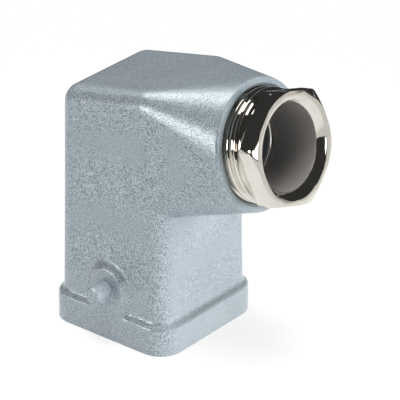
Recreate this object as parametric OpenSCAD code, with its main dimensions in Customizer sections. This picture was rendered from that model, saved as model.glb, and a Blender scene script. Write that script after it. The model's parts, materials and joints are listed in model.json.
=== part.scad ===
// Heavy duty rectangular connector: angled cable hood with its hex gland,
// and the three-pin-and-earth insert that it carries.
// Frame: origin at the centre of the rim's mating plane, +Z up into the hood,
// +X towards the cable gland, the two locking pegs along Y. Millimetres.

/* [Hood rim] */
// Outside width of the square rim at the mating plane
rim_w = 26.5; // [25.5:0.1:28]
// Corner radius of the rim
rim_corner_r = 4.4; // [3:0.1:5]
// Height of the rim's upright wall
rim_h = 5.2; // [4:0.1:6.5]
// Height of the sloping ledge above the rim
ledge_h = 1.2; // [0.6:0.1:1.6]

/* [Hood body] */
// Outside width of the body just above the ledge
body_w = 24.5; // [24:0.1:25.3]
// Outside width of the body at the roof, less by the casting's draft
body_top_w = 23.7; // [23.2:0.1:24.5]
// Radius of the body's upright corners and of the roof's edges
body_corner_r = 3.3; // [2.5:0.1:4]
// How far the roof's corners on the gland's side stand in from the body's, where its edges turn to the boss
shoulder_in = 2; // [0:0.1:3]
// Width of the chamber that holds the insert
cavity_w = 21; // [20.6:0.1:21.4]
// Corner radius of that chamber
cavity_corner_r = 2.4; // [1.5:0.1:3]
// Height of the shoulder and post that the insert seats against
seat_h = 21.5; // [20:0.1:23]
// Width of the wire chamber above the insert
chamber_w = 19.6; // [18:0.1:20.2]
// Thickness of the roof
roof_t = 2.4; // [1.8:0.1:3]
// Radius of the post that takes the fixing screw
post_r = 3.5; // [3:0.1:4]

/* [Cable arm] */
// Upward tilt of the cable arm
arm_angle = 12; // [8:1:16]
// Height of the arm's axis where it crosses the body's centre line
arm_axis_h = 35.2; // [34:0.1:37]
// Distance along the axis from the body's centre line to the boss face
arm_reach = 24.1; // [22:0.1:27]
// Radius of the boss at the arm's end
boss_r = 11.65; // [11.3:0.05:12.5]
// Width of the chamfer at the mouth of the threaded bore
mouth_chamfer = 0.5; // [0.2:0.1:0.8]
// Radius of the cable passage behind the seal
passage_r = 7.2; // [5.5:0.1:8]

/* [Locking pegs] */
// Radius of a locking peg
peg_r = 1.65; // [1.4:0.05:2]
// Radius of a peg's root, as far out as its web goes
peg_root_r = 1.85; // [1.85:0.05:2.2]
// Reach of a peg beyond its pad
peg_len = 3.7; // [2.5:0.1:5]
// Height of the pegs' axis above the mating plane
peg_h = 9.8; // [9:0.1:11]
// Chamfer round a peg's end
peg_chamfer = 0.45; // [0.1:0.05:0.8]
// Width of the web that props a peg from below
web_w = 2.2; // [1.2:0.1:2.3]
// Reach of that web beyond the pad
web_len = 1.6; // [1.2:0.1:2.4]
// Height of the web's foot above the mating plane
web_foot_h = 6; // [5.3:0.1:7]
// Height of the centre of the pad's arch
pad_h = 10.1; // [9:0.1:12]
// Radius of the pad's flat round the peg
pad_r = 3.5; // [2.8:0.1:4.5]
// Width of the sloping band round that flat
pad_slope = 1.05; // [0.5:0.05:1.6]

/* [Cable gland] */
// Outside radius of the gland screw's thread
thread_r = 10; // [9.6:0.05:10.1]
// Pitch of that thread
thread_pitch = 1.5; // [1:0.5:2]
// Turns that tighten the gland
gland_turns = 2; // [1:0.5:2.5]
// Width across the flats of the hexagon
hex_af = 19.5; // [19:0.1:21.5]
// Length of the hexagon along the axis
hex_len = 3; // [2:0.1:6]
// Turn of the hexagon about the axis, from a corner on -Y
hex_turn = 16; // [0:1:59]
// Length of the neck between thread and hexagon
neck_len = 1.2; // [0.6:0.1:2]
// Radius of that neck
neck_r = 9.2; // [8.8:0.05:9.4]
// Length of thread inside the boss, gland loose
thread_engaged = 3.4; // [2.5:0.1:4]
// Radius of the gland screw's bore
gland_bore_r = 7.45; // [6.5:0.05:7.8]
// Radius of the gland screw's bore at its inner end
gland_tail_r = 7.2; // [6.5:0.05:7.2]
// Length of that narrower end
gland_tail_len = 3; // [2:0.1:3.3]
// Radius of the countersink at the bore's mouth
gland_mouth_r = 8.6; // [8:0.05:9]
// Depth of that countersink
gland_mouth_depth = 1.2; // [0.5:0.1:1.8]
// Radius of the flat ring round the mouth
gland_ring_r = 9.85; // [9.2:0.05:10.4]
// Thickness of the thrust washer
washer_t = 1; // [0.6:0.1:1.4]
// Bore radius of the thrust washer
washer_bore_r = 7.2; // [6:0.1:7.4]
// Free length of the cable seal
seal_len = 6; // [5:0.1:6.4]
// Bore radius of the cable seal
seal_bore_r = 5; // [3:0.1:6]

/* [Insert] */
// Recess of the insert's open end above the mating plane
insert_recess = 1; // [0.5:0.1:2]
// Wall of the insert's shroud
shroud_wall = 1.5; // [1.2:0.1:2]
// Depth of the shroud
shroud_depth = 9.5; // [8:0.1:10.5]
// Distance of each contact's pin from the insert's axis
pin_offset = 6.3; // [6:0.1:6.6]
// Radius of a contact's pin
pin_r = 1.25; // [1:0.05:1.4]
// Length of a power pin beyond the shroud's floor
pin_len = 7.5; // [6:0.1:8]
// Further length of the earth pin, which mates first
earth_pin_extra = 1; // [0.5:0.1:1.2]
// Radius of a contact's shank, which the insert's floor holds
shank_r = 1.7; // [1.5:0.05:1.9]
// Size of a terminal block across its screw's axis
block_w = 5; // [4.4:0.1:5.4]
// Size of a terminal block along its screw's axis
block_len = 6; // [5.6:0.1:6.2]
// Thickness of insert under the terminal blocks
block_floor_t = 3.5; // [3.2:0.1:4]
// Radius of a wire hole
wire_r = 1.3; // [1:0.05:1.4]
// Wall of a terminal block inside its wire hole
wire_wall = 1; // [0.8:0.1:1.1]
// Radius of the pin end's rounding
pin_tip_r = 0.6; // [0.3:0.1:0.9]

/* [Terminal and fixing screws] */
// Outside radius of the terminal and fixing screws' thread
screw_r = 1.5; // [1.25:0.25:1.5]
// Pitch of the terminal screws' thread
screw_pitch = 0.5; // [0.4:0.05:0.5]
// Turns that clamp a wire
terminal_turns = 3; // [1:0.5:3]
// Length of a terminal screw
terminal_screw_len = 2.6; // [2.2:0.1:2.7]
// Thickness of a wire plate
wire_plate_t = 0.4; // [0.3:0.05:0.5]
// Radius of the fixing screw's head
fixing_head_r = 2.75; // [2.5:0.05:2.9]
// Thickness of the fixing screw's head
fixing_head_t = 1.7; // [1.3:0.1:1.8]
// Length of thread that the post takes
fixing_grip = 7; // [5:0.5:10]
// Thickness of the seal ring under the fixing screw's head
ring_t = 1; // [0.8:0.1:1]
// Thickness of the earth link
earth_link_t = 0.4; // [0.3:0.05:0.5]

/* [Clearances] */
// Radial clearance of a turning thread in its hole
thread_clear = 0.05; // [0.02:0.01:0.08]
// Gap round a loose washer or seal in the boss, and beside a wire plate
loose_gap = 0.3; // [0.2:0.05:0.4]
// End gap between pieces that turn and slide on each other
end_gap = 0.05; // [0.03:0.01:0.1]
// Gap all round the insert in its chamber
insert_gap = 0.15; // [0.1:0.05:0.2]
// Gap round each contact in the insert
contact_gap = 0.05; // [0.03:0.01:0.08]
// Radial clearance of the fixing screw in its plain holes, and of its head below the floor
hole_clear = 0.2; // [0.15:0.05:0.3]
// Radial clearance of the seal ring on the fixing screw
ring_clear = 0.1; // [0.05:0.05:0.15]

/* [Hidden] */

$fn = 64;
hull_fn = 32;
// Thickness of a slice that stands for a flat outline
eps = 0.01;
// How far a cutter runs past what it cuts
cut = 1;

// Directions of the contacts about Z: the earth contact faces away from the gland
power_dirs = [270, 0, 90];
earth_dir = 180;

// Heights
ledge_top = rim_h + ledge_h;
roof_h = arm_axis_h + boss_r / cos(arm_angle);
roof_centre_h = roof_h - body_corner_r / cos(arm_angle);
underside_h = arm_axis_h - boss_r / cos(arm_angle);
floor_h = insert_recess + shroud_depth;
block_h = floor_h + block_floor_t;
block_top = seat_h - earth_link_t;
terminal_axis_h = (block_h + block_top) / 2;

// Insert and its terminals
insert_w = cavity_w - 2 * insert_gap;
block_in = pin_offset - block_len / 2;
wire_offset = block_in + wire_wall + wire_r;
wire_hole_floor = 1;
terminal_travel = terminal_turns * screw_pitch;
plate_r = screw_r - loose_gap;
plate_pos = wire_offset + wire_r + end_gap;
terminal_bore_pos = plate_pos - terminal_travel - loose_gap;
pivot_r = 0.5;
slot_w = 0.6;
slot_depth = 0.8;
link_lap = 1;

// Fixing screw
fixing_counterbore_r = fixing_head_r + loose_gap;
fixing_hole_r = screw_r + hole_clear;
fixing_head_h = floor_h + hole_clear;
ring_seat_h = fixing_head_h + fixing_head_t + ring_t;
ring_centre_r = screw_r + ring_clear + ring_t / 2;
tap_run_out = 1.5;

// Gland, along its axis from the boss face
gland_back = -thread_engaged;
gland_travel = gland_turns * thread_pitch;
hex_back = gland_travel + neck_len;
hex_front = hex_back + hex_len;
washer_pos = gland_back - end_gap - washer_t;
seal_pos = washer_pos - end_gap - seal_len;
bore_depth = -seal_pos;
boss_bore_r = thread_r + thread_clear;
passage_start = post_r + 1;

// ---- shared shapes ----

module rounded_square(w, r) {
    square([w - 2 * r, w], center = true);
    square([w, w - 2 * r], center = true);
    for (x = [-1, 1], y = [-1, 1])
        translate([x * (w / 2 - r), y * (w / 2 - r)]) circle(r);
}

module rounded_block(w, r, h) {
    linear_extrude(h) rounded_square(w, r);
}

// Puts its children in the gland's own frame: z along the arm's axis, 0 at the boss face
module at_boss() {
    translate([0, 0, arm_axis_h])
        rotate([0, 90 - arm_angle, 0])
            translate([0, 0, arm_reach]) children();
}

// Puts its children at a terminal: z along its screw's axis, away from the insert's middle
module at_terminal(dir) {
    rotate([0, 0, dir])
        translate([0, 0, terminal_axis_h])
            rotate([0, 90, 0]) children();
}

// Everything below the plane that lies depth under the roof, across the body
module under_roof(depth) {
    reach = 4 * rim_w;
    translate([0, 0, arm_axis_h])
        rotate([0, -arm_angle, 0])
            translate([-reach / 2, -reach / 2, boss_r - depth - reach])
                cube(reach);
}

// ---- hood ----

// Balls in the four corners of the roof and in the two under the arm
module body_corners() {
    inset = body_top_w / 2 - body_corner_r;
    for (y = [-inset, inset]) {
        for (x = [-inset, inset - shoulder_in])
            translate([x, y, roof_centre_h + x * tan(arm_angle)])
                sphere(body_corner_r, $fn = hull_fn);
        translate([inset, y, underside_h + inset * tan(arm_angle) + body_corner_r / cos(arm_angle)])
            sphere(body_corner_r, $fn = hull_fn);
    }
}

module body_outside() {
    hull() {
        translate([0, 0, ledge_top - eps]) rounded_block(body_w, body_corner_r, eps, $fn = hull_fn);
        body_corners();
    }
}

module arm_outside() {
    hull() {
        body_corners();
        at_boss() translate([0, 0, -eps]) cylinder(eps, r = boss_r, $fn = 2 * hull_fn);
    }
}

module ledge() {
    hull() {
        translate([0, 0, rim_h - eps]) rounded_block(rim_w, rim_corner_r, eps, $fn = hull_fn);
        translate([0, 0, ledge_top - eps]) rounded_block(body_w, body_corner_r, eps, $fn = hull_fn);
    }
}

// Arched pad round a peg, drawn on the -Y side
module peg_pad() {
    face = rim_w / 2;
    wall = body_w / 2;
    sunk = wall - 0.5;
    foot_h = rim_h / 2;
    root_r = pad_r + pad_slope * (face - sunk) / (face - wall);
    hull() {
        for (layer = [[face, pad_r], [sunk, root_r]]) {
            translate([0, -layer[0], pad_h]) rotate([-90, 0, 0]) cylinder(eps, r = layer[1], $fn = hull_fn);
            translate([-layer[1], -layer[0], foot_h]) cube([2 * layer[1], eps, eps]);
        }
    }
}

// A peg and the web under it, drawn on the -Y side and rooted in the wall
module locking_peg() {
    root = 1.5;
    translate([0, -rim_w / 2, 0]) {
        translate([0, root, peg_h])
            rotate([90, 0, 0])
                rotate_extrude()
                    polygon([
                        [0, 0], [peg_root_r, 0],
                        [peg_root_r, root + web_len], [peg_r, root + web_len],
                        [peg_r, root + peg_len - peg_chamfer],
                        [peg_r - peg_chamfer, root + peg_len],
                        [0, root + peg_len]
                    ]);
        translate([-web_w / 2, 0, 0])
            rotate([90, 0, 90])
                linear_extrude(web_w)
                    polygon([
                        [root, web_foot_h], [root, peg_h], [-web_len, peg_h],
                        [-web_len, peg_h - peg_r], [0, web_foot_h]
                    ]);
    }
}

module hood_inside() {
    translate([0, 0, -eps]) rounded_block(cavity_w, cavity_corner_r, seat_h + eps);
    intersection() {
        rounded_block(chamber_w, cavity_corner_r, 2 * roof_h);
        under_roof(roof_t);
    }
    at_boss() {
        translate([0, 0, -bore_depth]) cylinder(bore_depth + cut, r = boss_bore_r);
        translate([0, 0, -mouth_chamfer])
            cylinder(mouth_chamfer + eps, r1 = boss_bore_r, r2 = boss_bore_r + mouth_chamfer + eps);
        translate([0, 0, passage_start - arm_reach]) cylinder(arm_reach, r = passage_r);
    }
}

module fixing_post() {
    intersection() {
        translate([0, 0, seat_h]) cylinder(roof_h, r = post_r);
        under_roof(roof_t / 2);
    }
}

module hood() {
    color([0.6, 0.64, 0.67])
        difference() {
            union() {
                difference() {
                    union() {
                        rounded_block(rim_w, rim_corner_r, rim_h);
                        ledge();
                        body_outside();
                        arm_outside();
                        for (side = [0, 180]) rotate([0, 0, side]) peg_pad();
                    }
                    hood_inside();
                }
                fixing_post();
                for (side = [0, 180]) rotate([0, 0, side]) locking_peg();
            }
            translate([0, 0, seat_h - eps])
                cylinder(fixing_grip + tap_run_out, r = screw_r + thread_clear);
        }
}

// ---- cable gland ----

module gland_screw() {
    corner_r = hex_af / sqrt(3);
    chamfer_len = (corner_r + eps - gland_ring_r) * tan(30);
    color([0.8, 0.78, 0.73])
        at_boss() difference() {
            union() {
                translate([0, 0, gland_back]) cylinder(gland_travel - gland_back, r = thread_r);
                translate([0, 0, gland_back]) cylinder(hex_front - gland_back - cut, r = neck_r);
                intersection() {
                    translate([0, 0, hex_back])
                        rotate([0, 0, -90 - hex_turn]) cylinder(hex_len, r = corner_r, $fn = 6);
                    union() {
                        translate([0, 0, hex_back - cut])
                            cylinder(hex_len + cut - chamfer_len, r = corner_r + 2 * eps);
                        translate([0, 0, hex_front - chamfer_len])
                            cylinder(chamfer_len, r1 = corner_r + 2 * eps, r2 = gland_ring_r);
                    }
                }
            }
            translate([0, 0, gland_back - cut]) cylinder(hex_front - gland_back + 2 * cut, r = gland_tail_r);
            translate([0, 0, gland_back + gland_tail_len])
                cylinder(hex_front - gland_back - gland_tail_len + cut, r = gland_bore_r);
            translate([0, 0, hex_front - gland_mouth_depth])
                cylinder(gland_mouth_depth + eps, r1 = gland_bore_r, r2 = gland_mouth_r);
        }
}

module thrust_washer() {
    color([0.78, 0.78, 0.76])
        at_boss() translate([0, 0, washer_pos])
            difference() {
                cylinder(washer_t, r = boss_bore_r - loose_gap);
                translate([0, 0, -cut]) cylinder(washer_t + 2 * cut, r = washer_bore_r);
            }
}

module cable_seal() {
    color([0.24, 0.26, 0.29])
        at_boss() translate([0, 0, seal_pos])
            difference() {
                cylinder(seal_len, r = boss_bore_r - loose_gap);
                translate([0, 0, -cut]) cylinder(seal_len + 2 * cut, r = seal_bore_r);
            }
}

// ---- insert ----

module insert_body() {
    pocket_w = block_w + 2 * contact_gap;
    color([0.82, 0.82, 0.78])
        difference() {
            translate([0, 0, insert_recess])
                rounded_block(insert_w, cavity_corner_r - insert_gap, seat_h - insert_recess);
            translate([0, 0, insert_recess - eps])
                rounded_block(insert_w - 2 * shroud_wall, cavity_corner_r - insert_gap - shroud_wall / 2,
                    shroud_depth + eps);
            // fixing screw and its seal ring
            translate([0, 0, floor_h - cut]) cylinder(ring_seat_h - floor_h + cut, r = fixing_counterbore_r);
            translate([0, 0, floor_h]) cylinder(seat_h, r = fixing_hole_r);
            for (dir = concat(power_dirs, earth_dir)) {
                rotate([0, 0, dir]) {
                    translate([pin_offset, 0, floor_h - cut])
                        cylinder(block_floor_t + 2 * cut, r = shank_r + contact_gap);
                    translate([block_in - contact_gap, -pocket_w / 2, block_h])
                        cube([block_len + 2 * contact_gap, pocket_w, seat_h]);
                }
                at_terminal(dir) translate([0, 0, wire_offset])
                    cylinder(insert_w, r = screw_r + loose_gap);
            }
            // recess for the earth link
            translate([0, 0, block_top]) {
                cylinder(seat_h, r = post_r + contact_gap);
                rotate([0, 0, earth_dir])
                    translate([0, -pocket_w / 2, 0]) cube([pin_offset, pocket_w, seat_h]);
            }
        }
}

// One contact: a turned pin below, its shank in the insert's floor and a terminal block above
module contact(dir, length) {
    rotate([0, 0, dir]) {
        translate([pin_offset, 0, 0])
            rotate_extrude()
                polygon([
                    [0, floor_h - length], [pin_r - pin_tip_r, floor_h - length],
                    [pin_r, floor_h - length + pin_tip_r], [pin_r, floor_h],
                    [shank_r, floor_h], [shank_r, block_h + eps], [0, block_h + eps]
                ]);
        difference() {
            translate([block_in, -block_w / 2, block_h]) cube([block_len, block_w, block_top - block_h]);
            translate([wire_offset, 0, block_h + wire_hole_floor]) cylinder(seat_h, r = wire_r);
            translate([0, 0, terminal_axis_h]) rotate([0, 90, 0])
                translate([0, 0, terminal_bore_pos]) cylinder(insert_w, r = screw_r + thread_clear);
        }
    }
}

module power_contact(index) {
    color([0.78, 0.77, 0.73]) contact(power_dirs[index - 1], pin_len);
}

module earth_contact() {
    color([0.78, 0.77, 0.73]) contact(earth_dir, pin_len + earth_pin_extra);
}

module terminal_screw(dir) {
    start = plate_pos + wire_plate_t + end_gap;
    color([0.72, 0.72, 0.7])
        at_terminal(dir) difference() {
            union() {
                translate([0, 0, start]) cylinder(terminal_screw_len, r = screw_r);
                translate([0, 0, plate_pos + end_gap])
                    cylinder(wire_plate_t + end_gap, r = pivot_r);
            }
            translate([-slot_w / 2, -screw_r - cut, start + terminal_screw_len - slot_depth])
                cube([slot_w, 2 * (screw_r + cut), slot_depth + cut]);
        }
}

module wire_plate(dir) {
    color([0.75, 0.75, 0.73])
        at_terminal(dir) translate([0, 0, plate_pos])
            difference() {
                cylinder(wire_plate_t, r = plate_r);
                translate([0, 0, -cut]) cylinder(wire_plate_t + 2 * cut, r = pivot_r + thread_clear);
            }
}

module earth_link() {
    color([0.8, 0.68, 0.38])
        translate([0, 0, block_top])
            difference() {
                union() {
                    cylinder(earth_link_t, r = post_r);
                    rotate([0, 0, earth_dir])
                        translate([0, -block_w / 2, 0]) cube([block_in + link_lap, block_w, earth_link_t]);
                }
                translate([0, 0, -cut]) cylinder(earth_link_t + 2 * cut, r = fixing_hole_r);
            }
}

module fixing_screw() {
    color([0.72, 0.72, 0.7])
        difference() {
            union() {
                translate([0, 0, fixing_head_h]) cylinder(fixing_head_t, r = fixing_head_r);
                translate([0, 0, fixing_head_h]) cylinder(seat_h + fixing_grip - fixing_head_h, r = screw_r);
            }
            translate([-fixing_head_r - cut, -slot_w / 2, fixing_head_h - cut])
                cube([2 * (fixing_head_r + cut), slot_w, slot_depth + cut]);
        }
}

module fixing_seal_ring() {
    color([0.12, 0.12, 0.13])
        translate([0, 0, fixing_head_h + fixing_head_t + ring_t / 2])
            rotate_extrude() translate([ring_centre_r, 0]) circle(ring_t / 2, $fn = hull_fn);
}

hood();
gland_screw();
thrust_washer();
cable_seal();
insert_body();
power_contact(1);  // power_contact_1
power_contact(2);  // power_contact_2
power_contact(3);  // power_contact_3
earth_contact();
terminal_screw(power_dirs[0]);  // terminal_screw_1
terminal_screw(power_dirs[1]);  // terminal_screw_2
terminal_screw(power_dirs[2]);  // terminal_screw_3
terminal_screw(earth_dir);  // earth_terminal_screw
wire_plate(power_dirs[0]);  // wire_plate_1
wire_plate(power_dirs[1]);  // wire_plate_2
wire_plate(power_dirs[2]);  // wire_plate_3
wire_plate(earth_dir);  // earth_wire_plate
earth_link();
fixing_screw();
fixing_seal_ring();
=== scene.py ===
"""Looks of a heavy duty rectangular connector: angled hood, cable gland and pin insert.

Lengths are millimetres in the classes and become metres when a piece is finished.
"""

import json
import logging
import math
from dataclasses import dataclass, field
from enum import Enum
from typing import Callable, Iterable, Sequence
import bmesh
import bpy
from mathutils import Matrix, Vector

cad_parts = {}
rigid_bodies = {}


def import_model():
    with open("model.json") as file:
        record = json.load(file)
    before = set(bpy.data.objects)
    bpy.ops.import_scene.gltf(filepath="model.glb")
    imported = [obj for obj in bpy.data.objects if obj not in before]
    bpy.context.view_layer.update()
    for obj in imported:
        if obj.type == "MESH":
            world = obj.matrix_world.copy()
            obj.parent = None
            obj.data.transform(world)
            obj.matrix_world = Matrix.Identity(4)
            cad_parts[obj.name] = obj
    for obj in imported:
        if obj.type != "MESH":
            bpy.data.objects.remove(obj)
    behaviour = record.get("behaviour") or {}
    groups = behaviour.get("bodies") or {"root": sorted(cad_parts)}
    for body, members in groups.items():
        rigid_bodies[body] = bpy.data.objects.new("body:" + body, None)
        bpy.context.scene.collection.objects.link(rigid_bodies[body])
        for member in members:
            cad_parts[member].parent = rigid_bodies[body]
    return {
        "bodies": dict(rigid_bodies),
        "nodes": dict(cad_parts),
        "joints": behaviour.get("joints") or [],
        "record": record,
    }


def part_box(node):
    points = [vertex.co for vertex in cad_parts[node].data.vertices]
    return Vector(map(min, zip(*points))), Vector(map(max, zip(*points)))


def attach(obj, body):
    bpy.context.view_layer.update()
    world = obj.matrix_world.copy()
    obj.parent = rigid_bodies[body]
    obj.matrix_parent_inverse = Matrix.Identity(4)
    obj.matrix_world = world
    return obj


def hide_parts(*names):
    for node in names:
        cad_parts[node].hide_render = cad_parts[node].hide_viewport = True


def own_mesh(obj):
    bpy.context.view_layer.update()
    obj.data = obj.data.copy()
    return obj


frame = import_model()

LOG = logging.getLogger("connector")
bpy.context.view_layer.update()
MM = 0.001
FULL_TURN = 2 * math.pi
MERGE = 1e-4
X_AXIS, Y_AXIS, Z_AXIS = Vector((1, 0, 0)), Vector((0, 1, 0)), Vector((0, 0, 1))
Mesh = bmesh.types.BMesh
Colour = tuple[float, float, float]
Profile = Sequence[tuple[float, float]]


class Cut(Enum):
    """What a boolean keeps of two solids."""

    UNION = "UNION"
    DIFFERENCE = "DIFFERENCE"
    INTERSECT = "INTERSECT"


# ---------------------------------------------------------------- places


class PackedPart:
    """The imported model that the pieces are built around, with its lengths in millimetres."""

    def __init__(self, loaded: dict) -> None:
        """Keeps the loaded model.

        Args:
            loaded: what the frame's load call returned.
        """
        self.record = loaded["record"]
        self.nodes = loaded["nodes"]
        self.body_of = {
            node: body
            for body, nodes in self.record["behaviour"]["bodies"].items()
            for node in nodes
        }
        self.slot_of = {part["node"]: part["material_slot"] for part in self.record["subparts"]}

    def box(self, node: str) -> tuple[Vector, Vector]:
        """Lowest and highest corner of a node, in millimetres."""
        low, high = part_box(node)
        return Vector(low) / MM, Vector(high) / MM

    def mount(self, name: str) -> tuple[Vector, Vector]:
        """Place in millimetres and axis of a mount."""
        row = next(m for m in self.record["mounts"] if m["name"] == name)
        return Vector(row["pos_m"]) / MM, Vector(row["axis"]).normalized()

    def span(self, node: str, place: Matrix) -> tuple[float, float]:
        """Where a node starts and ends along a place's own Z axis.

        Args:
            node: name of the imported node.
            place: a frame in millimetres, such as the gland's.

        Returns:
            The lowest and the highest height in that frame.
        """
        back = place.inverted()
        heights = [(back @ (v.co / MM)).z for v in self.nodes[node].data.vertices]
        return min(heights), max(heights)

    def radii(self, node: str, place: Matrix) -> tuple[float, float]:
        """Smallest and largest distance of a node's corners from a place's own Z axis."""
        back = place.inverted()
        lengths = [(back @ (v.co / MM)).xy.length for v in self.nodes[node].data.vertices]
        return min(lengths), max(lengths)


def facing(origin: Vector, axis: Vector, upright: Vector) -> Matrix:
    """A frame whose Z axis runs along an axis.

    Args:
        origin: the frame's origin.
        axis: direction of its Z axis.
        upright: direction that its X axis turns towards.

    Returns:
        The frame as a matrix.
    """
    z = axis.normalized()
    x = (upright - upright.dot(z) * z).normalized()
    y = z.cross(x)
    turn = Matrix((x, y, z)).transposed().to_4x4()
    return Matrix.Translation(origin) @ turn


# ---------------------------------------------------------------- mesh tools


def trim(bm: Mesh, point: Vector, out: Vector, close: bool = True) -> None:
    """Cuts away what lies beyond a plane.

    Args:
        bm: the mesh.
        point: a point of the plane.
        out: direction of the side that goes.
        close: fills the cut.
    """
    bmesh.ops.bisect_plane(
        bm, geom=bm.verts[:] + bm.edges[:] + bm.faces[:], dist=1e-5,
        plane_co=point, plane_no=out, clear_outer=True,
    )
    if close:
        fill_holes(bm)


def fill_holes(bm: Mesh) -> None:
    """Closes every open rim with a face."""
    bmesh.ops.holes_fill(bm, edges=[e for e in bm.edges if e.is_boundary], sides=0)


def move(bm: Mesh, place: Matrix) -> Mesh:
    """Moves a mesh from a frame's own coordinates to the part's."""
    bmesh.ops.transform(bm, matrix=place, verts=bm.verts[:])
    return bm


def bar(size: tuple[float, float, float], height: float) -> Mesh:
    """A square bar, used to cut a slot, with its middle on Z at a height."""
    bm = bmesh.new()
    bmesh.ops.create_cube(bm, size=1.0)
    bmesh.ops.scale(bm, vec=size, verts=bm.verts[:])
    return move(bm, Matrix.Translation((0, 0, height)))


def in_order(bm: Mesh) -> Mesh:
    """The same mesh with its faces in a fixed order, since spin's order changes between runs.

    Args:
        bm: the mesh, which is freed.

    Returns:
        The ordered mesh.
    """
    bm.verts.index_update()
    rings = []
    for face in bm.faces:
        ring = [v.index for v in face.verts]
        start = ring.index(min(ring))
        rings.append(ring[start:] + ring[:start])
    ordered = bmesh.new()
    verts = [ordered.verts.new(v.co) for v in bm.verts]
    for ring in sorted(rings):
        ordered.faces.new([verts[i] for i in ring])
    bm.free()
    return ordered


def turned(profile: Profile, steps: int = 96, closed: bool = True) -> Mesh:
    """Turns a profile of (radius, height) points round Z.

    Args:
        profile: the points, from one end to the other.
        steps: facets round the axis.
        closed: joins the last point to the first, as a ring's profile needs.

    Returns:
        A closed mesh, its faces pointing outwards.
    """
    bm = bmesh.new()
    verts = [bm.verts.new((r, 0, z)) for r, z in profile]
    edges = [bm.edges.new(pair) for pair in zip(verts, verts[1:])]
    if closed:
        edges.append(bm.edges.new((verts[-1], verts[0])))
    bmesh.ops.spin(
        bm, geom=verts + edges, cent=(0, 0, 0), axis=(0, 0, 1), dvec=(0, 0, 0),
        angle=FULL_TURN, steps=steps, use_merge=True, use_duplicate=False,
    )
    bmesh.ops.remove_doubles(bm, verts=bm.verts[:], dist=1e-5)
    bmesh.ops.recalc_face_normals(bm, faces=bm.faces[:])
    return in_order(bm)


def solid_rod(radius: float, low: float, high: float, steps: int = 96) -> Mesh:
    """A plain round rod along Z, used to cut or to join."""
    return turned([(0, low), (radius, low), (radius, high), (0, high)], steps, closed=False)


def helix(profile: Profile, pitch: float, turns: int, steps: int = 72) -> Mesh:
    """Sweeps one pitch of a thread's profile along a right-handed helix.

    Args:
        profile: (radius, height) points over exactly one pitch, ending as they start.
        pitch: rise of one turn.
        turns: how many turns are swept.
        steps: facets in a turn.

    Returns:
        An open threaded surface that starts at zero height.
    """
    bm = bmesh.new()
    verts = [bm.verts.new((r, 0, z)) for r, z in profile]
    edges = [bm.edges.new(pair) for pair in zip(verts, verts[1:])]
    bmesh.ops.spin(
        bm, geom=verts + edges, cent=(0, 0, 0), axis=(0, 0, 1), dvec=(0, 0, pitch / steps),
        angle=FULL_TURN * turns, steps=steps * turns, use_merge=False, use_duplicate=False,
    )
    bmesh.ops.remove_doubles(bm, verts=bm.verts[:], dist=MERGE)
    return in_order(bm)


def threaded_rod(
    crest: float, root: float, pitch: float, low: float, high: float, steps: int = 72
) -> Mesh:
    """A rod with a true helical thread and flat ends.

    Args:
        crest: outside radius.
        root: radius at the bottom of the groove.
        pitch: rise of one turn.
        low: height of the lower end.
        high: height of the upper end.
        steps: facets in a turn.

    Returns:
        A closed threaded solid.
    """
    soft = 0.09 * pitch
    flat = [
        (root, 0), (root, 0.5 * soft), (root + soft, 1.6 * soft),
        (crest - 1.2 * soft, 0.5 * pitch - 2.6 * soft),
        (crest - 0.3 * soft, 0.5 * pitch - 1.4 * soft),
        (crest, 0.5 * pitch - 0.5 * soft),
    ]
    profile = flat + [(r, pitch - z) for r, z in reversed(flat)]
    turns = math.ceil((high - low) / pitch) + 2
    bm = helix(profile, pitch, turns, steps)
    bmesh.ops.translate(bm, verts=bm.verts[:], vec=(0, 0, low - 1.5 * pitch))
    for height, up in ((low, -1), (high, 1)):
        trim(bm, height * Z_AXIS, up * Z_AXIS, close=False)
    bmesh.ops.remove_doubles(bm, verts=bm.verts[:], dist=MERGE)
    fill_holes(bm)
    bmesh.ops.recalc_face_normals(bm, faces=bm.faces[:])
    return bm


def hull(points: Iterable[Vector]) -> Mesh:
    """The tight skin round a cloud of points, as a closed mesh."""
    bm = bmesh.new()
    for point in points:
        bm.verts.new(point)
    bmesh.ops.convex_hull(bm, input=bm.verts[:], use_existing_faces=False)
    bmesh.ops.delete(bm, geom=[v for v in bm.verts if not v.link_faces], context="VERTS")
    bmesh.ops.recalc_face_normals(bm, faces=bm.faces[:])
    return bm


def ball_points(centre: Vector, radius: float, steps: int = 48) -> list[Vector]:
    """Points all over a ball."""
    bm = bmesh.new()
    bmesh.ops.create_uvsphere(
        bm, u_segments=steps, v_segments=steps // 2, radius=radius,
        matrix=Matrix.Translation(centre),
    )
    points = [v.co.copy() for v in bm.verts]
    bm.free()
    return points


def ring_points(place: Matrix, radius: float, height: float, steps: int = 128) -> list[Vector]:
    """Points round a circle in a place's own frame."""
    return [
        place @ Vector((radius * math.cos(a), radius * math.sin(a), height))
        for a in (FULL_TURN * i / steps for i in range(steps))
    ]


def rounded_square_face(
    bm: Mesh, width: float, corner: float, height: float, steps: int = 12
) -> bmesh.types.BMFace:
    """Adds a square face with round corners, facing down.

    Args:
        bm: mesh that gets the face.
        width: width across the flats.
        corner: corner radius.
        height: height of the face.
        steps: facets in a corner.

    Returns:
        The new face.
    """
    made = bmesh.ops.create_grid(
        bm, x_segments=1, y_segments=1, size=width / 2, matrix=Matrix.Translation((0, 0, height))
    )
    bevelled = bmesh.ops.bevel(
        bm, geom=made["verts"], offset=corner, offset_type="OFFSET", affect="VERTICES",
        segments=steps, profile=0.5, material=-1, clamp_overlap=True,
    )
    face = max((f for v in bevelled["verts"] for f in v.link_faces), key=lambda f: f.calc_area())
    return face


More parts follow.
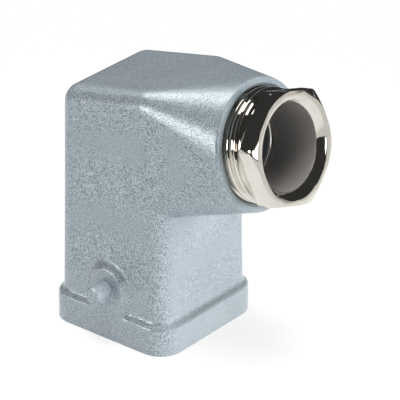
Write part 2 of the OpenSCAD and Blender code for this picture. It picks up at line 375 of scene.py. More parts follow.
def rounded_block(width: float, corner: float, low: float, steps_up: Profile) -> Mesh:
    """A block with round upright corners whose wall follows a list of steps.

    Args:
        width: width at the lower end.
        corner: corner radius at the lower end.
        low: height of the lower end.
        steps_up: (inset, rise) of each band of the wall, from the bottom.

    Returns:
        A closed mesh.
    """
    bm = bmesh.new()
    top = rounded_square_face(bm, width, corner, low)
    base = bmesh.ops.extrude_face_region(bm, geom=[top])
    lid = next(g for g in base["geom"] if isinstance(g, bmesh.types.BMFace))
    first_inset, first_rise = steps_up[0]
    bmesh.ops.translate(bm, verts=lid.verts[:], vec=(0, 0, first_rise))
    for inset, rise in steps_up[1:]:
        if lid.normal.z < 0:
            lid.normal_flip()
        bmesh.ops.inset_region(
            bm, faces=[lid], use_boundary=True, use_even_offset=True, thickness=inset, depth=rise
        )
    bmesh.ops.recalc_face_normals(bm, faces=bm.faces[:])
    return bm


def merged(parts: Sequence[Mesh]) -> Mesh:
    """Puts several meshes into one and frees them."""
    whole = bmesh.new()
    for part in parts:
        holder = bpy.data.meshes.new("holder")
        part.to_mesh(holder)
        part.free()
        whole.from_mesh(holder)
        bpy.data.meshes.remove(holder)
    return whole


def as_object(name: str, bm: Mesh) -> bpy.types.Object:
    """Puts a mesh into the scene as an object and frees it."""
    mesh = bpy.data.meshes.new(name)
    bm.to_mesh(mesh)
    bm.free()
    item = bpy.data.objects.new(name, mesh)
    bpy.context.scene.collection.objects.link(item)
    return item


def dropped(item: bpy.types.Object) -> None:
    """Removes a working object and its mesh."""
    mesh = item.data
    bpy.data.objects.remove(item)
    bpy.data.meshes.remove(mesh)


def with_modifiers(bm: Mesh, dress: Callable[[bpy.types.Object], None]) -> Mesh:
    """Runs a mesh through modifiers and gives back the result.

    Args:
        bm: the mesh, which is freed.
        dress: adds the modifiers to the object it gets.

    Returns:
        The changed mesh.
    """
    item = as_object("work", bm)
    dress(item)
    bpy.context.view_layer.update()
    graph = bpy.context.evaluated_depsgraph_get()
    baked = bpy.data.meshes.new_from_object(item.evaluated_get(graph))
    result = bmesh.new()
    result.from_mesh(baked)
    dropped(item)
    bpy.data.meshes.remove(baked)
    return result


def combine(base: Mesh, other: Mesh, cut: Cut) -> Mesh:
    """Joins, cuts or intersects two closed solids.

    Args:
        base: the first solid, freed.
        other: the second solid, freed.
        cut: what is kept.

    Returns:
        The resulting solid.
    """
    cutter = as_object("cutter", other)

    def dress(item: bpy.types.Object) -> None:
        """Adds the boolean."""
        step = item.modifiers.new("cut", "BOOLEAN")
        step.operation = cut.value
        step.solver = "MANIFOLD"
        step.object = cutter

    result = with_modifiers(base, dress)
    dropped(cutter)
    return result


def soften_edges(bm: Mesh, width: float, segments: int = 2, angle: float = 30) -> None:
    """Rounds every edge that is sharper than an angle.

    Args:
        bm: the mesh.
        width: width of the rounding.
        segments: facets across the rounding.
        angle: smallest angle between faces that counts as an edge, in degrees.
    """
    limit = math.radians(angle)
    edges = [e for e in bm.edges if e.is_manifold and e.calc_face_angle(0) > limit]
    bmesh.ops.bevel(
        bm, geom=edges, offset=width, offset_type="OFFSET", affect="EDGES", segments=segments,
        profile=0.5, material=-1, clamp_overlap=True, loop_slide=True, miter_outer="ARC",
    )


def finished(
    name: str, bm: Mesh, material: bpy.types.Material, place: Matrix = Matrix(), sharp: float = 35
) -> bpy.types.Object:
    """Turns a mesh in millimetres into a finished object in metres.

    Args:
        name: the piece's name.
        bm: its mesh, which is freed.
        material: its material.
        place: frame in millimetres that the mesh was built in.
        sharp: angle in degrees above which an edge is shaded sharp.

    Returns:
        The object, at the origin, unturned and unscaled.
    """
    move(bm, place)
    bmesh.ops.scale(bm, vec=(MM, MM, MM), verts=bm.verts[:])
    for face in bm.faces:
        face.smooth = True
    item = as_object(name, bm)
    item.data.set_sharp_from_angle(angle=math.radians(sharp))
    item.data.materials.append(material)
    return item


# ---------------------------------------------------------------- shader tools


class Num:
    """A shader number that Python's operators work on."""

    def __init__(self, shader: "Shader", socket: bpy.types.NodeSocket) -> None:
        """Wraps an output socket.

        Args:
            shader: the material that the socket belongs to.
            socket: the output that carries the number.
        """
        self.shader = shader
        self.socket = socket

    def _with(self, operation: str, *values: "Num | float") -> "Num":
        """Adds one Math node."""
        inputs = dict(enumerate(values))
        return self.shader.add("ShaderNodeMath", {"operation": operation}, inputs)

    def __add__(self, other: "Num | float") -> "Num":
        """Sum."""
        return self._with("ADD", self, other)

    __radd__ = __add__

    def __mul__(self, other: "Num | float") -> "Num":
        """Product."""
        return self._with("MULTIPLY", self, other)

    __rmul__ = __mul__

    def __sub__(self, other: "Num | float") -> "Num":
        """Difference."""
        return self._with("SUBTRACT", self, other)

    def __rsub__(self, other: "Num | float") -> "Num":
        """Difference, reflected."""
        return self._with("SUBTRACT", other, self)

    def ramp(self, low: float, high: float) -> "Num":
        """Smooth step from 0 at low to 1 at high."""
        return self.shader.add(
            "ShaderNodeMapRange", {"interpolation_type": "SMOOTHSTEP"},
            {"Value": self, "From Min": low, "From Max": high},
        )


class Shader:
    """The node tree of one material or of the world."""

    def __init__(
        self, name: str, tree: bpy.types.NodeTree | None = None,
        ending: str = "ShaderNodeOutputMaterial",
    ) -> None:
        """Starts an empty tree.

        Args:
            name: name of the material that is made where no tree is given.
            tree: the tree to fill.
            ending: type of its output node.
        """
        if tree is None:
            self.material = bpy.data.materials.new(name)
            self.material.use_nodes = True
            tree = self.material.node_tree
        self.tree = tree
        self.tree.nodes.clear()
        self.output = self.tree.nodes.new(ending)

    def add(
        self, kind: str, settings: dict | None = None, inputs: dict | None = None,
        output: int | str = 0,
    ) -> Num:
        """Adds any node.

        Args:
            kind: the node's type.
            settings: its properties, set before its sockets.
            inputs: values or links by socket name or number.
            output: which output is given back.

        Returns:
            The chosen output.
        """
        node = self.tree.nodes.new(kind)
        for key, value in (settings or {}).items():
            setattr(node, key, value)
        for key, value in (inputs or {}).items():
            self.feed(node.inputs[key], value)
        return Num(self, node.outputs[output])

    def feed(self, socket: bpy.types.NodeSocket, value: object) -> None:
        """Sets a socket, or links it where the value is another node's output."""
        if isinstance(value, Num):
            self.tree.links.new(value.socket, socket)
        elif socket.type == "RGBA" and len(value) == 3:
            socket.default_value = (*value, 1)
        else:
            socket.default_value = value

    def place(
        self, frame_mm: Matrix = Matrix(), stretch: tuple[float, float, float] = (1, 1, 1)
    ) -> Num:
        """The piece's own coordinates, seen from a frame and stretched.

        Args:
            frame_mm: the frame, in millimetres.
            stretch: how many times longer the pattern gets along each axis.

        Returns:
            The coordinates, in metres.
        """
        where = self.add("ShaderNodeTexCoord", output="Object")
        return self.add(
            "ShaderNodeMapping", {"vector_type": "TEXTURE"},
            {
                "Vector": where, "Location": tuple(frame_mm.translation * MM),
                "Rotation": tuple(frame_mm.to_euler()), "Scale": stretch,
            },
        )

    def radius(self, frame_mm: Matrix) -> Num:
        """Distance from a frame's Z axis, in millimetres."""
        flat = self.add(
            "ShaderNodeVectorMath", {"operation": "MULTIPLY"},
            {0: self.place(frame_mm), 1: (1 / MM, 1 / MM, 0)},
        )
        return self.add("ShaderNodeVectorMath", {"operation": "LENGTH"}, {0: flat}, output="Value")

    def noise(self, where: Num, scale: float, detail: float = 2, rough: float = 0.5) -> Num:
        """A cloudy noise between 0 and 1."""
        return self.add(
            "ShaderNodeTexNoise", {"noise_dimensions": "3D"},
            {"Vector": where, "Scale": scale, "Detail": detail, "Roughness": rough},
        )

    def blend(self, factor: Num, first: "Colour | Num", second: "Colour | Num") -> Num:
        """A colour between two colours."""
        return self.add(
            "ShaderNodeMix", {"data_type": "RGBA"}, {0: factor, 6: first, 7: second}, output=2
        )

    def bump(self, height: Num, depth: float) -> Num:
        """A normal from a height of about 0 to 1, where 1 stands for a depth in metres."""
        inputs = {"Strength": 1.0, "Distance": depth, "Height": height}
        return self.add("ShaderNodeBump", None, inputs)

    def glow(self, colour: "Colour | Num") -> Num:
        """An even emission of a colour, at a strength of 1."""
        return self.add("ShaderNodeEmission", None, {"Color": colour, "Strength": 1.0})

    def part_of(self, vector: Num, letter: str) -> Num:
        """One component of a vector."""
        return self.add("ShaderNodeSeparateXYZ", None, {0: vector}, output=letter)

    def end(self, surface: Num) -> None:
        """Links the last shader to the tree's output."""
        self.feed(self.output.inputs["Surface"], surface)

    def finish(self, **sockets: object) -> bpy.types.Material:
        """Ends the material with a Principled surface.

        Args:
            sockets: its inputs, with _ for the spaces of their names.

        Returns:
            The material.
        """
        surface = self.add(
            "ShaderNodeBsdfPrincipled", None,
            {key.replace("_", " "): value for key, value in sockets.items()},
        )
        self.end(surface)
        return self.material


# ---------------------------------------------------------------- finishes


@dataclass(frozen=True)
class CoatFinish:
    """Silver-grey powder coat: metal flake in a pebbled film. Its colour speckle is painted
    stronger on the faces towards the two pegs, as painted sparkle of raking light.
    """

    name: str = "hood_coat"
    dark: Colour = (0.15, 0.184, 0.21)
    light: Colour = (0.44, 0.508, 0.556)
    grain: float = 6800
    depth: float = 0.00004
    metallic: float = 0.55
    roughness: float = 0.24
    speckle_ends: float = 1.5
    painted_sparkle_sides: float = 6.5
    cloud: float = 0.2

    def material(self) -> bpy.types.Material:
        """Builds the coat."""
        s = Shader(self.name)
        where = s.place()
        fine = s.noise(where, self.grain, 1, 0.5)
        broad = s.noise(where, 120, 2, 0.5)
        side = s.part_of(s.add("ShaderNodeTexCoord", output="Normal"), "Y")
        # Painted sparkle: the colour speckle grows on faces that turn towards the pegs, where
        # raking light would make the coat glint.
        speckle_with_painted_sparkle = (side * side).ramp(0.06, 0.5) * self.painted_sparkle_sides + self.speckle_ends
        tone_with_painted_sparkle = (fine - 0.5) * speckle_with_painted_sparkle + 0.5 + (broad - 0.5) * self.cloud
        colour = s.blend(tone_with_painted_sparkle.ramp(0.0, 1.0), self.dark, self.light)
        rough = self.roughness + (fine - 0.5) * 0.1
        return s.finish(
            Base_Color=colour, Metallic=self.metallic, Roughness=rough,
            Normal=s.bump(fine, self.depth),
        )


@dataclass(frozen=True)
class PlateFinish:
    """Bright plating over turned metal, with faint tool lines round an axis. A given bore is
    rougher and less metallic, and its darker colour is painted shade inside the hole.
    """

    name: str
    colour: Colour
    roughness: float = 0.1
    lines: float = 0.15
    scale: float = 9000
    axis: Matrix = field(default_factory=Matrix)
    bore: float = 0
    bore_painted_shade_colour: Colour = (0.52, 0.495, 0.475)
    bore_roughness: float = 0.3
    bore_metallic: float = 0.75
    stretch: float = 50
    line_depth: float = 6e-7

    def material(self) -> bpy.types.Material:
        """Builds the plating."""
        s = Shader(self.name)
        where = s.place(self.axis, (self.stretch, self.stretch, 1))
        lines = s.noise(where, self.scale, 3, 0.6)
        cloud = s.noise(s.place(), 260, 3, 0.6)
        dull = tuple(0.9 * c for c in self.colour)
        colour = s.blend(cloud.ramp(0.35, 0.75), self.colour, dull)
        rough = self.roughness + (lines - 0.5) * self.lines + (cloud - 0.5) * 0.08
        metal = 1.0
        if self.bore:
            # Painted shade: inside the bore radius the colour darkens for the shade in the hole,
            # while roughness rises and the metal share falls there.
            outside = s.radius(self.axis).ramp(self.bore + 0.005, self.bore + 0.02)
            colour = s.blend(outside, self.bore_painted_shade_colour, colour)
            rough = rough + (1 - outside) * self.bore_roughness
            metal = outside * (1 - self.bore_metallic) + self.bore_metallic
        return s.finish(
            Base_Color=colour, Metallic=metal, Roughness=rough,
            Normal=s.bump(lines, self.line_depth),
        )


@dataclass(frozen=True)
class MouldedFinish:
    """Moulded rubber or plastic, with cloudy patches and a fine grain."""

    name: str
    colour: Colour
    patch: Colour
    roughness: float = 0.62
    roughness_spread: float = 0.3
    cloud: tuple[float, float, float] = (400, 4, 0.65)
    cloud_edge: float = 0.4
    grain: tuple[float, float, float] = (5200, 2, 0.5)
    depth: float = 6e-6

    def material(self) -> bpy.types.Material:
        """Builds the moulding's surface."""
        s = Shader(self.name)
        where = s.place()
        cloud = s.noise(where, *self.cloud)
        grain = s.noise(where, *self.grain)
        return s.finish(
            Base_Color=s.blend(cloud.ramp(self.cloud_edge, 0.8), self.colour, self.patch),
            Roughness=self.roughness + (grain - 0.5) * self.roughness_spread,
            Normal=s.bump(grain, self.depth),
        )


# ---------------------------------------------------------------- the hood


@dataclass
class Hood:
    """The cast hood: rim, body, cable arm, pads and locking pegs round a hollow."""

    part: PackedPart
    coat: CoatFinish
    rim_width: float = 26.5
    rim_corner: float = 4.4
    rim_height: float = 5.2
    rim_sunk: float = 1.5
    rim_cove: float = 1.1
    ledge_rise: float = 1.2
    body_width: float = 24.5
    body_top_width: float = 23.7
    body_corner: float = 3.3
    arm_height: float = 35.2
    boss_radius: float = 11.65
    boss_edge: float = 0.45
    shoulder_in: float = 2.0
    cavity_width: float = 21.0
    cavity_corner: float = 2.4
    cavity_flare: float = 0.4
    seat_height: float = 21.5
    chamber_width: float = 19.6
    roof: float = 2.4
    post_radius: float = 3.5
    screw_hole: float = 1.55
    screw_hole_depth: float = 8.5
    post_top: float = 60.0
    bore_radius: float = 10.05
    bore_depth: float = 10.5
    bore_mouth: float = 0.5
    passage_radius: float = 7.2
    passage_depth: float = 19.6
    peg_radius: float = 1.65
    peg_length: float = 3.7
    peg_height: float = 9.8
    peg_chamfer: float = 0.45
    peg_sunk: float = 1.5
    web_width: float = 2.9
    web_length: float = 2.4
    web_foot: float = 6.9
    pad_height: float = 10.1
    pad_radius: float = 3.5
    pad_slope: float = 1.05
    pad_foot: float = 2.5
    voxel: float = 0.27
    softening: int = 3

    def __post_init__(self) -> None:
        """Finds the gland's place and the arm's tilt."""
        seat, axis = self.part.mount("cable_entry")
        rough = facing(seat, axis, -Z_AXIS)
        _, face = self.part.span("hood", rough)
        self.gland = rough @ Matrix.Translation((0, 0, face))
        self.tilt = math.asin(axis.z)
        self.inset = self.body_top_width / 2 - self.body_corner
        self.face = self.rim_width / 2

    def on_axis(self, x: float, offset: float = 0) -> float:
        """Height of a line beside the arm's axis, offset square to it, at a place along X."""
        return self.arm_height + x * math.tan(self.tilt) + offset / math.cos(self.tilt)

    def rim(self) -> Mesh:
        """The square rim, rounded at its top edge and filleted into the body."""
        shoulder = [(0.0, 4.85), (0.05, 5.08), (0.15, 5.26), (0.29, 5.38), (0.45, 5.44)]
        step_in = (self.rim_width - self.body_width) / 2
        centre = step_in - self.rim_cove
        top = self.rim_height + self.ledge_rise
        cove = [
            (x, top - math.sqrt(max(0.0, self.rim_cove**2 - (x - centre) ** 2)))
            for x in (0.6, 0.75, 0.85, 0.93, 0.98, step_in)
        ]
        wall = [(0.0, -self.rim_sunk), *shoulder, *cove, (step_in + 0.1, top + 0.8)]
        steps = [(b[0] - a[0], b[1] - a[1]) for a, b in zip(wall, wall[1:])]
        return rounded_block(self.rim_width, self.rim_corner, -self.rim_sunk, steps)

    def corner_balls(self) -> list[Vector]:
        """Points of the balls that round the roof's four corners and the arm's two lower ones."""
        lift = self.boss_radius - self.body_corner
        roof_end = self.inset - self.shoulder_in
        points = []
        for x, offset in ((-self.inset, lift), (roof_end, lift), (self.inset, -lift)):
            for side in (-1, 1):
                centre = Vector((x, side * self.inset, self.on_axis(x, offset)))
                points += ball_points(centre, self.body_corner)
        return points

    def body(self) -> Mesh:
        """The upright body with its draft."""
        ring = bmesh.new()
        rounded_square_face(ring, self.body_width, self.body_corner, self.rim_height - 2)
        points = [v.co.copy() for v in ring.verts] + self.corner_balls()
        ring.free()
        return hull(points)

    def arm(self) -> Mesh:
        """The cable arm, from the roof to the round boss."""
        points = self.corner_balls()
        for degrees in range(0, 91, 15):
            angle = math.radians(degrees)
            radius = self.boss_radius - self.boss_edge * (1 - math.cos(angle))
            points += ring_points(self.gland, radius, self.boss_edge * (math.sin(angle) - 1))
        return hull(points)

    def pad(self) -> Mesh:
        """The arched pad round the front peg."""
        wall = self.body_width / 2
        sunk = wall - 0.5
        root = self.pad_radius + self.pad_slope * (self.face - sunk) / (self.face - wall)
        points = []
        for depth, radius in ((self.face, self.pad_radius), (sunk, root)):
            place = facing(Vector((0, -depth, self.pad_height)), -Y_AXIS, X_AXIS)
            points += ring_points(place, radius, 0, 96)
            points += [Vector((side * radius, -depth, self.pad_foot)) for side in (-1, 1)]
        return hull(points)

    def peg(self, turn: float) -> Mesh:
        """A locking peg with its chamfered end, on the side that a turn about Z leads to."""
        r, c, reach, sunk = self.peg_radius, self.peg_chamfer, self.peg_length, -self.peg_sunk
        profile = [
            (0, sunk), (r, sunk), (r, reach - c), (r - 0.3 * c, reach - 0.3 * c),
            (r - c, reach), (0, reach),
        ]
        place = facing(Vector((0, -self.face, self.peg_height)), -Y_AXIS, X_AXIS)
        return move(turned(profile, 64, closed=False), Matrix.Rotation(turn, 4, "Z") @ place)

    def web(self) -> Mesh:
        """The web that props the front peg from below."""
        half, reach, top = self.web_width / 2, self.web_length, self.peg_height
        under = top - 0.92 * self.peg_radius
        outline = [
            (-self.peg_sunk, self.web_foot - 1), (-self.peg_sunk, top), (reach, top),
            (reach, under), (0.1, self.web_foot),
        ]
        return hull(Vector((x, -self.face - y, z)) for x in (-half, half) for y, z in outline)

    def outside(self) -> Mesh:
        """The whole casting without its hollow, with soft cast fillets."""
        front = merged([self.pad(), self.web()])
        back = move(front.copy(), Matrix.Rotation(math.pi, 4, "Z"))
        whole = merged([self.rim(), self.body(), self.arm(), front, back])

        def dress(item: bpy.types.Object) -> None:
            """Adds the remesh and the softening."""
            remesh = item.modifiers.new("skin", "REMESH")
            remesh.mode = "VOXEL"
            remesh.voxel_size = self.voxel
            smooth = item.modifiers.new("soften", "SMOOTH")
            smooth.factor = 0.5
            smooth.iterations = self.softening

        return with_modifiers(whole, dress)

    def hollow(self) -> Mesh:
        """Everything that is cut out of the casting."""
        seat, below, past = self.seat_height, 1.0, 0.2
        widen = below + self.cavity_flare
        cutter = rounded_block(
            self.cavity_width + 2 * widen, self.cavity_corner + widen, -below,
            [(0, 0.001), (widen, widen), (0, seat - self.cavity_flare)],
        )
        chamber = rounded_block(
            self.chamber_width, self.cavity_corner, seat - below, [(0, self.post_top - seat)]
        )
        under = self.on_axis(0, self.boss_radius - self.roof)
        slope = Vector((-math.sin(self.tilt), 0, math.cos(self.tilt)))
        trim(chamber, under * Z_AXIS, slope)
        b, m, depth = self.bore_radius, self.bore_mouth, -self.bore_depth
        bore = turned(
            [(0, depth), (b, depth), (b, -m), (b + m + past, past), (0, past)], 128, closed=False
        )
        passage = solid_rod(self.passage_radius, -self.passage_depth, depth + 0.5)
        for piece in (chamber, move(bore, self.gland), move(passage, self.gland)):
            cutter = combine(cutter, piece, Cut.UNION)
        post = solid_rod(self.post_radius, seat, self.post_top, 64)
        hole = solid_rod(self.screw_hole, seat - 0.5, seat + self.screw_hole_depth, 32)
        cutter = combine(combine(cutter, post, Cut.DIFFERENCE), hole, Cut.UNION)
        ground_depth = 9
        ground = rounded_block(3 * self.rim_width, 1, -ground_depth, [(0, ground_depth)])
        return combine(cutter, ground, Cut.UNION)

    def build(self) -> bpy.types.Object:
        """Makes the hood and lets it ride."""
        shell = self.outside()
        for turn in (0, math.pi):
            shell = combine(shell, self.peg(turn), Cut.UNION)
        shell = combine(shell, self.hollow(), Cut.DIFFERENCE)
        item = finished("hood_casting", shell, self.coat.material(), sharp=40)
        return settle(item, self.part, "hood")


def settle(item: bpy.types.Object, part: PackedPart, *nodes: str) -> bpy.types.Object:
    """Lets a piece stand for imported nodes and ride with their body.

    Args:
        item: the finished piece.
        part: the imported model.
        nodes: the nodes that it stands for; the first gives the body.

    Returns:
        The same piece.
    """
    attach(item, part.body_of[nodes[0]])
    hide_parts(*nodes)
    LOG.info("%s: %d faces, for %s", item.name, len(item.data.polygons), ", ".join(nodes))
    return item


# ---------------------------------------------------------------- the cable gland


@dataclass
class Gland:
    """The hexagon gland screw with its washer and its rubber seal."""

    part: PackedPart
    place: Matrix
    plate: PlateFinish
    washer_plate: PlateFinish
    rubber: MouldedFinish
    thread_radius: float = 10.0
    root_radius: float = 9.15
    pitch: float = 1.5
    neck_radius: float = 9.2
    neck_length: float = 1.2
    across_flats: float = 19.5
    hex_length: float = 3.0
    hex_turn: float = 16.0
    ring_radius: float = 9.85
    corner_radius: float = 11.05
    washer_inner: float = 6.68
    bore_radius: float = 7.45
    tail_radius: float = 7.2
    tail_length: float = 3.0
    mouth_radius: float = 8.6
    mouth_depth: float = 1.2
    edge: float = 0.1
    bore_edge: float = 0.2
    washer_edge: float = 0.12
    washer_round: float = 0.3
    seal_edge: float = 0.3
    seal_grooves: int = 4
    groove_depth: float = 0.28

    def head(self, back: float, front: float) -> Mesh:
        """The hexagon, with its chamfered corners.

        Args:
            back: height of its back face.
            front: height of its front face.

        Returns:
            A closed solid.
        """
        corner, ring = self.corner_radius, self.ring_radius
        rise = (corner - ring) * math.tan(math.radians(30))
        blank = turned(
            [(0, back), (corner, back), (corner, front - rise), (ring, front), (0, front)],
            120, closed=False,
        )
        for i in range(6):
            angle = math.radians(-90 - self.hex_turn + 30 + 60 * i)
            out = Vector((math.cos(angle), math.sin(angle), 0))
            trim(blank, out * self.across_flats / 2, out)
        bmesh.ops.dissolve_limit(
            blank, angle_limit=math.radians(0.5), verts=blank.verts[:], edges=blank.edges[:]
        )
        bmesh.ops.recalc_face_normals(blank, faces=blank.faces[:])
        soften_edges(blank, self.edge, 2, 20)
        return blank

    def screw(self) -> bpy.types.Object:
        """The gland screw."""
        low, front = self.part.span("gland_screw", self.place)
        back = front - self.hex_length
        top = back - self.neck_length
        root, neck, clear = self.root_radius, self.neck_radius, self.thread_radius + 0.2
        thread = threaded_rod(self.thread_radius, root, self.pitch, low, top + 0.4, 96)
        lead = turned(
            [(0, low - 0.5), (root - 0.5, low - 0.5), (root - 0.1, low), (clear, low + 1.0),
             (clear, top - 0.25), (neck - 0.1, top + 0.45), (0, top + 0.45)],
            128, closed=False,
        )
        solid = combine(thread, lead, Cut.INTERSECT)
        solid = combine(solid, solid_rod(neck, low + 0.6, back + 0.3, 128), Cut.UNION)
        solid = combine(solid, self.head(back, front), Cut.UNION)
        solid = combine(solid, self.bore(low, front), Cut.DIFFERENCE)
        item = finished("gland_screw_body", solid, self.plate.material(), self.place, sharp=32)
        return settle(item, self.part, "gland_screw")

    def bore(self, low: float, front: float) -> Mesh:
        """The screw's stepped bore with its rounded mouth, as a solid to cut with.

        Args:
            low: height of the screw's inner end.
            front: height of the hexagon's front.

        Returns:
            A closed solid that passes both ends.
        """
        b, m, t, e = self.bore_radius, self.mouth_radius, self.tail_radius, self.bore_edge
        slope = (m - b) / self.mouth_depth
        step, sill = low + self.tail_length, front - self.mouth_depth
        return turned(
            [(0, low - 1), (t + 1 + e, low - 1), (t, low + e), (t, low + 0.5), (b, step + 0.6),
             (b, sill - e), (b + 0.35 * e, sill), (b + e * slope + 0.2 * e, sill + e),
             (m - e, front - e / slope), (m + 0.25 * e, front - 0.3 * e),
             (m + 1.2 * e, front + 0.02), (m + 1.3 * e, front + 1), (0, front + 1)],
            128, closed=False,
        )

    def washer(self) -> bpy.types.Object:
        """The thrust washer, with rounded edges."""
        low, high = self.part.span("thrust_washer", self.place)
        _, outer = self.part.radii("thrust_washer", self.place)
        inner, e, r = self.washer_inner, self.washer_edge, self.washer_round
        bend = [
            (inner + r * (1 - math.cos(a)), high - r * (1 - math.sin(a)))
            for a in map(math.radians, range(90, -1, -15))
        ]
        rim = [(outer - e, low), (outer, low + e), (outer, high - e), (outer - e, high)]
        ring = turned([(inner, low), *rim, *bend])
        item = finished("thrust_washer_ring", ring, self.washer_plate.material(), self.place)
        return settle(item, self.part, "thrust_washer")

    def seal(self) -> bpy.types.Object:
        """The rubber seal, with grip rings in its bore; the gland's travel is looked up, but the
        seal keeps its length.
        """
        low, high = self.part.span("cable_seal", self.place)
        inner, outer = self.part.radii("cable_seal", self.place)
        length, e = high - low, self.seal_edge
        bore = []
        steps = 8 * self.seal_grooves
        for i in range(steps + 1):
            wave = abs(math.cos(math.pi * self.seal_grooves * i / steps)) ** 0.7
            bore.append((inner + self.groove_depth * wave, high - length * i / steps))
        rim = [(outer - e, low), (outer, low + e), (outer, high - e), (outer - e, high)]
        ring = turned([*rim, *bore])
        item = finished("cable_seal_ring", ring, self.rubber.material(), self.place, sharp=50)
        settle(item, self.part, "cable_seal")
        axis = (self.place.to_3x3() @ Z_AXIS).normalized()
        anchor = (self.place @ (low * Z_AXIS)) * MM
        joints = self.part.record["behaviour"]["joints"]
        travel = next(j for j in joints if j["name"] == "gland_advance")
        keep = 1 - travel["range_m"][1] / (length * MM)
        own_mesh(item)
        return item

    def build(self) -> None:
        """Makes the three pieces."""
        self.screw()
        self.washer()
        self.seal()


# ---------------------------------------------------------------- the insert and its terminals


@dataclass
class SmallParts:
    """The pin insert, its contacts, screws, plates, earth link and seal ring."""

    part: PackedPart
    finishes: dict[str, bpy.types.Material] = field(default_factory=dict)
    screw_radius: float = 1.5
    fixing_pitch: float = 0.5
    thread_depth: float = 0.27
    slot_width: float = 0.6
    slot_depth: float = 0.8
    pivot_radius: float = 0.5

    def copy_of(self, node: str) -> Mesh:
        """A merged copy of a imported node's mesh, in millimetres, with its flat faces joined."""
        bm = bmesh.new()
        bm.from_mesh(self.part.nodes[node].data)
        bmesh.ops.scale(bm, vec=(1 / MM, 1 / MM, 1 / MM), verts=bm.verts[:])
        bmesh.ops.remove_doubles(bm, verts=bm.verts[:], dist=MERGE)
        bmesh.ops.dissolve_limit(
            bm, angle_limit=math.radians(0.2), verts=bm.verts[:], edges=bm.edges[:]
        )
        return bm

    def place_piece(self, node: str, bm: Mesh, place: Matrix = Matrix(), sharp: float = 30) -> None:
        """Finishes a node's piece in its slot's material and settles it.

        Args:
            node: the node that it stands for.
            bm: its mesh, which is freed.
            place: frame in millimetres that the mesh was built in.
            sharp: angle in degrees above which an edge is shaded sharp.
        """
        material = self.finishes[self.part.slot_of[node]]
        settle(finished(f"{node}_piece", bm, material, place, sharp), self.part, node)

    def rounded(self, node: str, width: float, segments: int = 2) -> None:
        """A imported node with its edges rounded.

        Args:
            node: the node.
            width: width of the rounding.
            segments: facets across it.
        """
        bm = self.copy_of(node)
        soften_edges(bm, width, segments, 40)
        self.place_piece(node, bm, sharp=35)

    def terminal_screw(self, node: str) -> None:
        """A slotted terminal screw with its thread and its plain pivot.

        Args:
            node: the node of the screw.
        """
        low, high = self.part.box(node)
        middle = (low + high) / 2
        out = Vector((middle.x, middle.y, 0)).normalized()
        place = facing(middle.z * Z_AXIS, out, Z_AXIS)
        start, end = self.part.span(node, place)
        plate = node.replace("terminal_screw", "wire_plate")
        seat = self.part.span(plate, place)[1] + 0.05
        r = self.screw_radius
        clear = r + 0.1
        rod = threaded_rod(r, r - self.thread_depth, self.fixing_pitch, seat, end, 48)
        ends = turned(
            [(0, seat - 0.1), (r - 0.35, seat - 0.1), (clear, seat + 0.35), (clear, end - 0.3),
             (r - 0.25, end + 0.05), (0, end + 0.05)],
            64, closed=False,
        )
        solid = combine(rod, ends, Cut.INTERSECT)
        solid = combine(solid, solid_rod(self.pivot_radius, start, seat + 0.2, 32), Cut.UNION)
        slot = bar((self.slot_width, 4 * r, 2 * self.slot_depth), end)
        self.place_piece(node, combine(solid, slot, Cut.DIFFERENCE), place)

    def fixing_screw(self, node: str = "fixing_screw") -> None:
        """The slotted screw that holds the insert to the hood's post."""
        low, high = self.part.box(node)
        head = high.x
        foot, end = low.z, high.z
        rise = self.part.box("fixing_seal_ring")[0].z
        r = self.screw_radius
        clear = r + 0.1
        cap = turned(
            [(0, foot), (head - 0.55, foot), (head - 0.16, foot + 0.16), (head, foot + 0.55),
             (head, rise - 0.15), (head - 0.15, rise), (0, rise)],
            64, closed=False,
        )
        grip = self.part.box("insert_body")[1].z
        rod = threaded_rod(r, r - self.thread_depth, self.fixing_pitch, grip - 2, end, 48)
        tip = turned(
            [(0, grip - 3), (clear, grip - 3), (clear, end - 0.5), (r - 0.5, end), (0, end)],
            64, closed=False,
        )
        rod = combine(rod, tip, Cut.INTERSECT)
        neck = solid_rod(r - self.thread_depth, rise - 0.3, grip - 1.5, 48)
        solid = combine(combine(cap, neck, Cut.UNION), rod, Cut.UNION)
        slot = bar((4 * head, self.slot_width, 2 * self.slot_depth), foot)
        self.place_piece(node, combine(solid, slot, Cut.DIFFERENCE))

    def build(self) -> None:
        """Makes every small piece."""
        self.rounded("insert_body", 0.12)
        self.rounded("earth_link", 0.06)
        self.rounded("fixing_seal_ring", 0.0001, 1)
        self.fixing_screw()
        for node in self.part.nodes:
            if node.endswith("contact") or "contact_" in node:
                self.rounded(node, 0.1)
            elif "wire_plate" in node:
                self.rounded(node, 0.05)
            elif "terminal_screw" in node:
                self.terminal_screw(node)


# ---------------------------------------------------------------- the studio


@dataclass
class Lamp:
    """A soft rectangular lamp that faces the object."""

    name: str
    azimuth: float
    elevation: float
    distance: float
    size: tuple[float, float]
    power: float
    colour: Colour = (1, 1, 1)
    mirrored: bool = True

    def build(self, aim: Vector) -> None:
        """Makes the lamp.

        Args:
            aim: the point that it faces, in metres.
        """
        data = bpy.data.lights.new(self.name, "AREA")
        data.shape = "RECTANGLE"
        data.size, data.size_y = self.size
        data.energy = self.power
        data.color = self.colour
        turn, lift = math.radians(self.azimuth), math.radians(self.elevation)
        level = math.cos(lift)
        back = Vector((level * math.cos(turn), level * math.sin(turn), math.sin(lift)))
        place = facing(aim + back * self.distance, back, Z_AXIS)
        item = bpy.data.objects.new(self.name, data)
        item.matrix_world = place @ Matrix.Rotation(math.pi / 2, 4, "Z")
        item.visible_glossy = self.mirrored
        bpy.context.scene.collection.objects.link(item)


